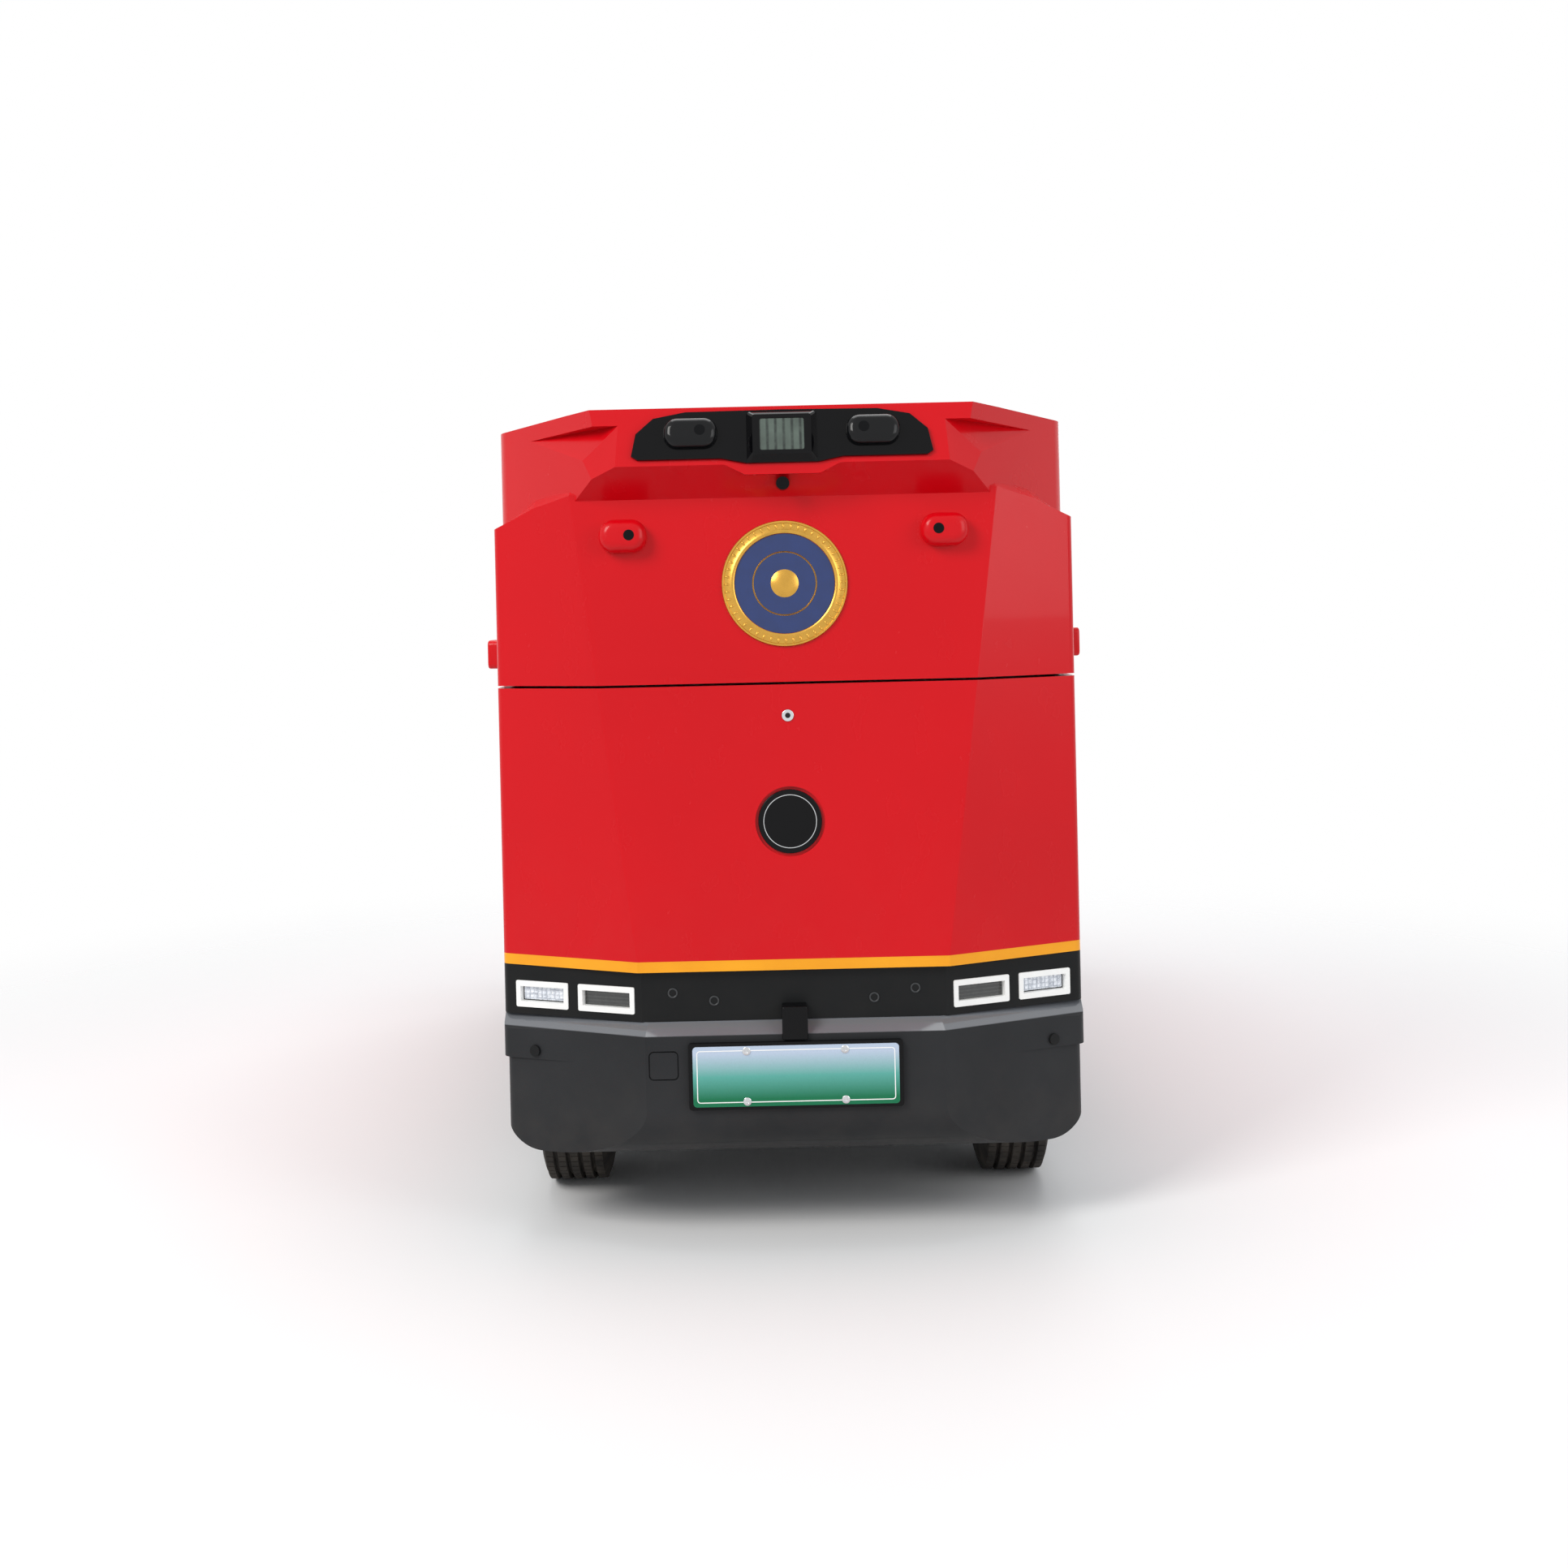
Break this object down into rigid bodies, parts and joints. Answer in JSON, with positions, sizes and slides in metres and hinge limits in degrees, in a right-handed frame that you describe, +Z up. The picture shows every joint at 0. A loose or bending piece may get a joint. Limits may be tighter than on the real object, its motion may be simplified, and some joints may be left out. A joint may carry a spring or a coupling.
{
  "type": "unmanned fire truck",
  "caption": "Box-bodied driverless fire truck with a faceted nose, sensor visor, steered front wheels and hinged rear doors.",
  "frame": {"origin": "on the ground under the middle of the vehicle", "axes": "+Z up, front faces -Y, +X to the vehicle's own left"},
  "size_m": [1.534, 3.3037, 1.9649],
  "materials": {
    "body_red": "gloss red lacquer",
    "crown_red": "gloss red lacquer",
    "gloss_black": "polished black",
    "lidar_glass": "dark tinted window",
    "lens_glass": "camera lens glass",
    "band_black": "satin black",
    "bumper_grey": "fine grained charcoal",
    "stripe_amber": "amber reflective stripe",
    "lamp_white": "white lamp bezel",
    "lamp_glass": "clear lamp optic",
    "tail_red": "red lamp lens",
    "steel_satin": "satin steel",
    "plate_green": "blank number plate, pale to green",
    "frame_black": "black chassis coat",
    "floor_alu": "chequered floor plate",
    "wheel_silver": "silver wheel paint",
    "tyre_rubber": "tyre rubber",
    "liner_black": "wheel arch liner",
    "cast_grey": "cast knuckles"
  },
  "bodies": {
    "body": {"arch_liners": "liner_black", "battery_pack": "frame_black", "bumper_bracket": "band_black", "camera_lenses": "lens_glass", "camera_pods": "body_red", "cargo_bulkhead": "floor_alu", "cargo_roof": "body_red", "chassis_rails": "frame_black", "cross_members": "frame_black", "crown": "crown_red", "crown_cameras": "gloss_black", "floor_slab": "floor_alu", "front_bumper": "bumper_grey", "front_plate": "plate_green", "front_subframe": "frame_black", "front_wishbones": "frame_black", "lamp_band": "band_black", "lamp_bezels": "lamp_white", "lamp_lenses": "lamp_glass", "lidar_housing": "gloss_black", "lidar_window": "lidar_glass", "nose_lower_panel": "body_red", "nose_upper_panel": "body_red", "panel_lock": "steel_satin", "plate_backing": "band_black", "rear_axle": "frame_black", "rear_bumper": "bumper_grey", "rear_portal": "body_red", "rear_springs": "frame_black", "round_disc": "gloss_black", "round_sensors": "band_black", "sensor_panel": "gloss_black", "side_skirts": "bumper_grey", "side_wall_left": "body_red", "side_wall_right": "body_red", "spring_struts": "frame_black", "steering_rack": "cast_grey", "tail_lamps": "tail_red", "trim_stripe": "stripe_amber"},
    "knuckle_left": {"knuckle_left": "cast_grey"},
    "knuckle_right": {"knuckle_right": "cast_grey"},
    "wheel_front_left": {"rim_front_left": "wheel_silver", "tyre_front_left": "tyre_rubber"},
    "wheel_front_right": {"rim_front_right": "wheel_silver", "tyre_front_right": "tyre_rubber"},
    "wheel_rear_left": {"rim_rear_left": "wheel_silver", "tyre_rear_left": "tyre_rubber"},
    "wheel_rear_right": {"rim_rear_right": "wheel_silver", "tyre_rear_right": "tyre_rubber"},
    "door_left": {"rear_door_left": "body_red"},
    "door_right": {"rear_door_right": "body_red", "door_handle": "band_black"}
  },
  "joints": [
    {"name": "steer_left", "type": "hinge", "parent": "body", "child": "knuckle_left", "pos_m": [0.49, -1.016, 0.29], "axis": [0, 0, 1], "range_deg": [-28, 28]},
    {"name": "spin_front_left", "type": "hinge", "parent": "knuckle_left", "child": "wheel_front_left", "pos_m": [0.562, -1.016, 0.29], "axis": [1, 0, 0], "continuous": true},
    {"name": "spin_rear_left", "type": "hinge", "parent": "body", "child": "wheel_rear_left", "pos_m": [0.562, 1.034, 0.29], "axis": [1, 0, 0], "continuous": true},
    {"name": "door_left_swing", "type": "hinge", "parent": "body", "child": "door_left", "pos_m": [0.626, 1.642, 1.28], "axis": [0, 0, -1], "range_deg": [0, 110]},
    {"name": "steer_right", "type": "hinge", "parent": "body", "child": "knuckle_right", "pos_m": [-0.49, -1.016, 0.29], "axis": [0, 0, 1], "range_deg": [-28, 28]},
    {"name": "spin_front_right", "type": "hinge", "parent": "knuckle_right", "child": "wheel_front_right", "pos_m": [-0.562, -1.016, 0.29], "axis": [1, 0, 0], "continuous": true},
    {"name": "spin_rear_right", "type": "hinge", "parent": "body", "child": "wheel_rear_right", "pos_m": [-0.562, 1.034, 0.29], "axis": [1, 0, 0], "continuous": true},
    {"name": "door_right_swing", "type": "hinge", "parent": "body", "child": "door_right", "pos_m": [-0.626, 1.642, 1.28], "axis": [0, 0, 1], "range_deg": [0, 110]}
  ],
  "couplings": [
    {"joint": "steer_right", "follows": "steer_left", "ratio": 1}
  ]
}
